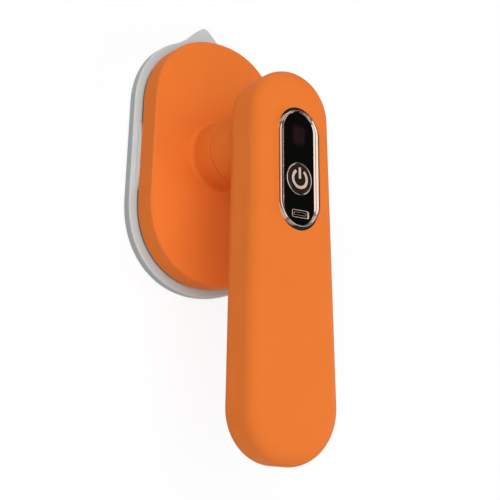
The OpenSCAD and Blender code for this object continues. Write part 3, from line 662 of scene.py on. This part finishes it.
def head_housing():
    """Moulded head: side, rounded top edge, flat top, concave foot and neck in one skin."""

    def circle_through(outline, radius, z):
        ring = []
        for x, y in outline:
            a = math.atan2(y, x)
            ring.append((radius * math.cos(a), radius * math.sin(a), z))
        return ring

    base = oval(HEAD)
    rings = [
        level(oval(HEAD, inset - SMALL_ROUND), HOUSING_Z + rise)
        for inset, rise in [(0.0, 0.0), (0.12, 0.05), (0.25, 0.15), (0.35, 0.35)]
    ]
    rings += [
        level(oval(HEAD, -inset), HEAD_TOP - HEAD_EDGE + rise)
        for inset, rise in quarter(HEAD_EDGE, 9)
    ]
    foot, flat_border = NECK_R + NECK_BLEND, 0.4
    rings.append(level(oval(HEAD, -HEAD_EDGE - flat_border), HEAD_TOP))
    rings.append(circle_through(base, foot + flat_border, HEAD_TOP))
    for inset, rise in quarter(NECK_BLEND, BLEND_STEPS):
        rings.append(circle_through(base, foot - rise, HEAD_TOP + inset))
    for inset, rise in quarter(SMALL_ROUND, 4):
        rings.append(circle_through(base, NECK_R - inset, NECK_TOP - SMALL_ROUND + rise))
    shell = loft("head_shell", rings)
    carve(
        shell,
        prism(oval(HEAD, -WALL, 48), HOUSING_Z - 1, ROOF_Z),
        drum(NECK_R - WALL, ROOF_Z - 1, DECK_Z),
        drum(SPINDLE_HOLE, DECK_Z - 1, NECK_TOP + 1),
        turned(
            "tool",
            [
                (DISC_IN, NECK_TOP - DISC_T + GAP),
                (DISC_R, NECK_TOP - DISC_T + GAP),
                (DISC_R, NECK_TOP + 1),
                (DISC_IN, NECK_TOP + 1),
            ],
            whole=False,
        ),
        drum(FILLER_HOLE, ROOF_Z - 1, HEAD_TOP + 1, FILLER),
        drum(PLUG_R + 0.3, HEAD_TOP - PLUG_T / 2 + GAP, HEAD_TOP + 1, FILLER),
    )
    place(smooth(shell), "head", "orange_shell", "head_housing")


def heat_guard():
    """Pale rim: upright outer side, rounded shoulder, flat ledge and a clip on each side."""
    peak, shoulder = 2.2, 0.8
    bow = (CLIP_HALF**2 + peak**2) / (2 * peak)
    bed_z = SOLE_TOP + GAP

    def head(grow):
        return oval(HEAD, grow, 160, 60)

    def lift(x, y):
        """Height of the clip over the ledge: a low arc, cut off below the housing."""
        reach = bow**2 - (y - CLIP_Y) ** 2
        arc = peak - bow + math.sqrt(reach) if reach > 0 else 0
        return min(max(arc, 0.0), HOUSING_Z - GAP - RIM_TOP) if abs(x) > 15 else 0

    def clip(grow, share):
        return [(x, y, RIM_TOP + share * lift(x, y)) for x, y in head(grow)]

    def groove(grow, depth):
        """The ledge sinks below the housing's edge, but not under a clip."""
        ring = []
        for x, y in head(grow):
            rise = lift(x, y)
            ring.append((x, y, RIM_TOP + rise - depth * max(0.0, 1 - rise / 0.5)))
        return ring

    rings = [
        level(rim_oval(-1.2), RIM_Z),
        level(rim_oval(-0.3), RIM_Z),
        level(rim_oval(-0.08), RIM_Z + 0.1),
        level(rim_oval(0), RIM_Z + 0.4),
    ]
    rings += [
        level(rim_oval(-inset), RIM_TOP - shoulder + up_by)
        for inset, up_by in quarter(shoulder, 8)
    ]
    rings += [
        level(rim_oval(-shoulder - 0.12), RIM_TOP),
        clip(CLIP_REACH + 0.45, 0.0),
        clip(CLIP_REACH + 0.05, 0.04),
        clip(CLIP_REACH, 0.1),
        clip(CLIP_REACH - 0.03, 0.85),
        clip(CLIP_REACH - 0.12, 0.96),
        clip(CLIP_REACH - 0.3, 1.0),
        groove(-0.5, 0.0),
        groove(-0.6, 0.2),
        groove(-0.65, 1.4),
        groove(-2.1, 1.4),
        level(head(-2.2), RIM_TOP),
        level(head(-5), RIM_TOP),
        level(head(-5), bed_z),
        level(rim_oval(-1.2), bed_z),
    ]
    guard = loft("sole_rim", rings, ring_closed=True)
    place(smooth(guard), "head", "rim_plastic", "heat_guard")


# ---------------------------------------------------------------- handle


def handle_rings(inset, bend, base_z, seam_z, front):
    """Rings from the seam out to the flat face, all surfaces shrunk by inset."""
    face = base_z - inset if front else base_z + inset
    sign = -1 if front else 1
    rings = [level(oval(HANDLE, -inset), seam_z)]
    radius = bend - inset
    for shrink, rise in quarter(radius, 16):
        rings.append(level(oval(HANDLE, -inset - shrink), face + sign * (radius - rise)))
    return rings


def seam_break(rings, front):
    """Starts a shell at its parting line with a small rounded edge."""
    sign = 1 if front else -1
    beyond = [ring for ring in rings if sign * (ring[0][2] - SEAM_Z) > 0.3]
    edge = [
        level(oval(HANDLE, -0.22), SEAM_Z + sign * 0.02),
        level(oval(HANDLE, -0.07), SEAM_Z + sign * 0.07),
        level(oval(HANDLE, 0), SEAM_Z + sign * 0.24),
    ]
    return edge + beyond


def posts(places, radius, z0, z1):
    """Round columns inside the handle, for screws and the board."""
    return [drum(radius, z0, z1, spot, 32) for spot in places]


def front_shell():
    """Front half of the handle, with the panel's opening and the frame's shallow pocket."""
    rings = seam_break(handle_rings(0, FRONT_ROUND, HANDLE_TOP, SEAM_Z, True), True)
    shell = loft("front_cover", rings)
    opening = [
        level(stadium(SKIRT_R + grow, BEZEL_RUN, BEZEL_Y), z)
        for grow, z in ((GAP, SEAM_Z), (GAP, HANDLE_TOP - 0.15), (0.35, HANDLE_TOP + 0.1))
    ]
    cavity = handle_rings(WALL, FRONT_ROUND, HANDLE_TOP, SEAM_Z - 1, True)
    pocket_gap, under_frame = 0.14, 0.05
    pocket = stadium(BEZEL_HALF_W + pocket_gap, BEZEL_RUN, BEZEL_Y)
    carve(
        shell,
        loft("tool", cavity),
        loft("tool", opening),
        prism(pocket, POCKET_Z - under_frame, HANDLE_TOP + 1),
    )
    post_end = HANDLE_TOP - WALL + 0.4
    join(shell, *posts(SCREWS, POST_R, SEAM_Z, post_end))
    join(shell, *posts(BOARD_POSTS, BOARD_POST_R, BOARD_TOP, post_end))
    place(smooth(shell), "handle", "orange_shell", "front_shell")


def boss():
    """Round boss that turns on the neck and flares into the back of the handle."""
    flare_z = HANDLE_Z + BACK_ROUND - BOSS_BLEND + 1
    top_z = HANDLE_Z + BACK_ROUND
    lower_edge = [(0.0, 0.35), (0.18, 0.3), (0.3, 0.18), (0.35, 0.0)]
    profile = [(0, BOSS_Z)]
    profile += [
        (BOSS_R - SMALL_ROUND + out_by, BOSS_Z + SMALL_ROUND - down_by)
        for out_by, down_by in lower_edge
    ]
    profile.append((BOSS_R, flare_z))
    for i in range(1, BLEND_STEPS + 1):
        rise = (top_z - flare_z) * i / BLEND_STEPS
        out_by = BOSS_BLEND - math.sqrt(BOSS_BLEND**2 - rise**2)
        profile.append((BOSS_R + out_by, flare_z + rise))
    profile.append((0, top_z))
    solid = turned("tool", profile, steps=144)
    return carve(
        solid, prism(oval(HANDLE, -0.05), BOSS_Z - 1, top_z + 1), operation="INTERSECT"
    )


def charging_slot():
    """Tool for the oval opening at the lower end, which runs along the handle."""
    slot = stadium(SOCKET_H / 2, SOCKET_W - SOCKET_H, steps=16)
    ends = (SOCKET_Y + 7.4, SOCKET_Y - 8)
    return loft("tool", [[(z, y, SOCKET_Z + x) for x, z in slot] for y in ends])


def rear_shell():
    """Back half of the handle, with the boss, the swivel's bores and the screw holes."""
    rings = seam_break(handle_rings(0, BACK_ROUND, HANDLE_Z, SEAM_Z, False), False)
    shell = loft("rear_cover", rings)
    carve(shell, boss(), operation="UNION")
    cavity = handle_rings(WALL, BACK_ROUND, HANDLE_Z, SEAM_Z + 1, False)
    track_in, track_out, track_top = 9.2, 14.0, BOSS_Z + 1.2
    carve(
        shell,
        loft("tool", cavity),
        drum(BOSS_R - WALL, BOSS_Z + WALL, SEAM_Z + 1),
        drum(BUSH_HOLE, BOSS_Z - 1, BOSS_Z + WALL + 1),
        turned(
            "tool",
            [
                (track_in, BOSS_Z - 1),
                (track_out, BOSS_Z - 1),
                (track_out, track_top),
                (track_in, track_top),
            ],
            whole=False,
        ),
        charging_slot(),
        *[drum(SCREW_HOLE, HANDLE_Z - 1, SEAT_Z, spot, 48) for spot in SCREWS],
    )
    join(shell, *posts(SCREWS, POST_R, SEAT_Z + GAP, SEAM_Z - 0.05))
    place(smooth(shell), "handle", "orange_shell", "rear_shell")


# ---------------------------------------------------------------- control panel


def bezel():
    """Plated frame in a shallow pocket of the shell, narrower at its two round ends."""
    out, lip, top = BEZEL_HALF_W, LIP_R, BEZEL_TOP
    full, short = BEZEL_RUN, BEZEL_RUN - 2.8
    step = WINDOW_TOP + 0.56
    profile = [
        (SKIRT_R, full, SKIRT_Z),
        (SKIRT_IN, full, SKIRT_Z),
        (SKIRT_IN, full, WINDOW_TOP),
        (lip, full + 1.1, WINDOW_TOP),
        (lip, full + 1.1, WINDOW_TOP + 0.04),
        (lip + 0.5, full + 0.44, step - 0.02),
        (lip + 0.54, full + 0.4, step),
        (lip + 0.86, full - 0.12, step),
        (out - 0.97, full - 1.62, top - 0.02),
        (out - 0.93, full - 1.66, top),
        (out - 0.32, short + 0.2, top),
        (out, short, top - 0.22),
        (out, short, POCKET_Z + 0.1),
        (out + 0.08, full, POCKET_Z + 0.07),
        (out + 0.08, full, POCKET_Z),
        (SKIRT_R, full, POCKET_Z),
    ]
    rings = [level(stadium(r, run, BEZEL_Y, 64), z) for r, run, z in profile]
    frame_ring = loft("panel_frame", rings, ring_closed=True)
    place(smooth(frame_ring, 12), "handle", "rose_gold", "bezel")


def button_ring():
    """Thin plated ring with a rounded top, round the power button."""
    bead, top = 0.25, WINDOW_TOP + 0.3
    inner, outer = RING_R - RING_W, RING_R
    profile = [(inner, WINDOW_Z), (inner, top - bead)]
    for i in range(9):
        a = math.radians(180 - 180 * i / 8)
        across = (inner + outer + RING_W * math.cos(a)) / 2
        profile.append((across, top - bead + bead * math.sin(a)))
    profile.append((outer, WINDOW_Z))
    ring = turned("key_ring", profile, (0, BUTTON_Y), whole=False)
    place(smooth(ring, 50), "handle", "rose_gold", "button_ring")


def power_button():
    """Round key with a rounded edge, held by a flange under the window."""
    edge, flange_r, flange_z = 0.3, BUTTON_R + 0.6, BUTTON_Z + 0.5
    profile = [(0, BUTTON_Z), (flange_r, BUTTON_Z), (flange_r, flange_z), (BUTTON_R, flange_z)]
    profile += [(BUTTON_R - inset, BUTTON_TOP - edge + rise) for inset, rise in quarter(edge, 5)]
    profile.append((0, BUTTON_TOP))
    key = turned("key_cap", profile, (0, BUTTON_Y))
    place(smooth(key), "power_key", "black_gloss", "power_button", look="key_gloss")


def power_mark():
    """Bar and open ring with rounded backs, so that they catch light as plating does."""
    base, rise = BUTTON_TOP - 0.05, 0.2
    middle, half, bar_length = 3.8, 0.62, 4.8
    opening, steps = 33, 72
    back = [(-1, 0), (-1, 0.3), (-0.66, 0.8), (0, 1), (0.66, 0.8), (1, 0.3), (1, 0)]
    section = [(half * across, base + rise * up_by) for across, up_by in back]

    def across_arc(degrees):
        c, s = math.cos(math.radians(degrees)), math.sin(math.radians(degrees))
        return [((middle + r) * c, BUTTON_Y + (middle + r) * s, z) for r, z in section]

    sweep = 360 - 2 * opening
    arc = [across_arc(90 + opening + sweep * k / steps) for k in range(steps + 1)]
    bar = [[(r, BUTTON_Y + y, z) for r, z in section] for y in (0.0, bar_length)]
    sign = join(loft("power_sign", arc), loft("tool", bar))
    place(smooth(sign, 40), "power_key", "rose_gold", "power_mark", look="satin_plating")


def battery_mark():
    """Outline of a battery with a thick terminal end and a thin outlined charge bar."""
    base, rise = WINDOW_TOP - 0.05, 0.2
    half_l, half_h = BATTERY_L / 2, BATTERY_H / 2
    middle_x, middle_y = 0.5, BATTERY_Y - 0.2

    def rounded(box, inset=0.0):
        """Outline of a box given as its two ends, half height and corner round."""
        x0, x1, half, soft = box[0] + inset, box[1] - inset, box[2] - inset, box[3] - inset
        corners = (
            (x1 - soft, half - soft, 0),
            (x0 + soft, half - soft, 90),
            (x0 + soft, soft - half, 180),
            (x1 - soft, soft - half, 270),
        )
        points = []
        for x, y, start in corners:
            for i in range(7):
                a = math.radians(start + 15 * i)
                points.append(
                    (middle_x + x + soft * math.cos(a), middle_y + y + soft * math.sin(a))
                )
        return points

    def raised_line(name, outer, line, end):
        """A line round a rounded box, as wide as end says at its right-hand end."""
        x0, x1, half, soft = outer
        inner = (x0 + line, x1 - end, half - line, soft - line * 0.6)
        edge = min(0.1, line / 3)
        rings = [
            level(rounded(outer), base),
            level(rounded(outer), base + rise / 2),
            level(rounded(outer, edge), base + rise),
            level(rounded(inner, -edge), base + rise),
            level(rounded(inner), base + rise / 2),
            level(rounded(inner), base),
        ]
        return loft(name, rings, ring_closed=True)

    sign = raised_line("battery_sign", (-half_l, half_l, half_h, 0.75), 0.24, 0.9)
    bar = raised_line("tool", (1.0 - half_l, half_l - 1.7, 0.6, 0.3), 0.1, 0.1)
    join(sign, bar)
    place(smooth(sign, 25), "handle", "rose_gold", "battery_mark", look="satin_plating")


# ---------------------------------------------------------------- small pieces


def filler_plug():
    """Rubber plug: stem, round cap with a shallow dish, and a tab to pull it by."""
    cap_z = HEAD_TOP - PLUG_T / 2 + 0.2
    top_z, edge = cap_z + PLUG_T, 0.5
    stem_r, stem_z, dish_z = 3.7, cap_z - 5, top_z - 0.2
    profile = [(0, stem_z), (stem_r - 0.2, stem_z), (stem_r, stem_z + 0.4), (stem_r, cap_z)]
    profile += [(PLUG_R - 0.2, cap_z), (PLUG_R, cap_z + 0.3)]
    profile += [(PLUG_R - inset, top_z - edge + rise) for inset, rise in quarter(edge, 5)]
    profile += [(PLUG_R - 2.2, top_z), (PLUG_R - 2.6, dish_z), (0, dish_z)]
    plug = turned("filler_bung", profile, FILLER)

    tab_half, tab_turn, tab_root = 2.5, math.radians(-50), PLUG_R - 1
    outline = [(tab_root, -tab_half)]
    for i in range(13):
        a = math.radians(-90 + 180 * i / 12)
        outline.append((PLUG_R + tab_half + tab_half * math.cos(a), tab_half * math.sin(a)))
    outline.append((tab_root, tab_half))
    c, s = math.cos(tab_turn), math.sin(tab_turn)
    spots = [(FILLER[0] + x * c - y * s, FILLER[1] + x * s + y * c) for x, y in outline]
    tab_z = cap_z + PLUG_T / 2 + 0.3
    join(plug, prism(spots, tab_z, tab_z + PLUG_T / 2 - 0.35))
    place(smooth(plug), "filler_cap", "plug_rubber", "filler_plug")


def handle_screws():
    """Pan heads with a cross recess, at the back of the handle."""
    head_z, end_z = HANDLE_Z + 0.4, SEAM_Z + 3
    head_r, shank_r = 2.3, 1.0
    recess_long, recess_wide, recess_z = 1.3, 0.28, head_z + 0.7
    profile = [(0, head_z), (head_r - 0.6, head_z), (head_r - 0.2, head_z + 0.15)]
    profile += [(head_r, head_z + 0.5), (head_r, SEAT_Z), (shank_r, SEAT_Z)]
    profile += [(shank_r, end_z), (0, end_z)]
    screws = []
    for x, y in SCREWS:
        screw = turned("back_screws", profile, (x, y), 48)
        for a, b in ((recess_long, recess_wide), (recess_wide, recess_long)):
            bar = [(x - a, y - b), (x + a, y - b), (x + a, y + b), (x - a, y + b)]
            carve(screw, prism(bar, head_z - 1, recess_z))
        screws.append(screw)
    first, *others = screws
    join(first, *others)
    place(smooth(first), "handle", "screw_steel", "handle_screws")


set_camera()
for name, lamp in LAMPS.items():
    hang_lamp(name, *lamp)
light_room()
lay_paper()

head_housing()
heat_guard()
front_shell()
rear_shell()
bezel()
button_ring()
power_button()
power_mark()
battery_mark()
filler_plug()
handle_screws()

# Every solid takes the finish of its slot, so that those without a piece above have one too
for row in frame["record"]["subparts"]:
    node = frame["nodes"][row["node"]]
    node.data.materials.clear()
    node.data.materials.append(FINISH[row["material_slot"]])
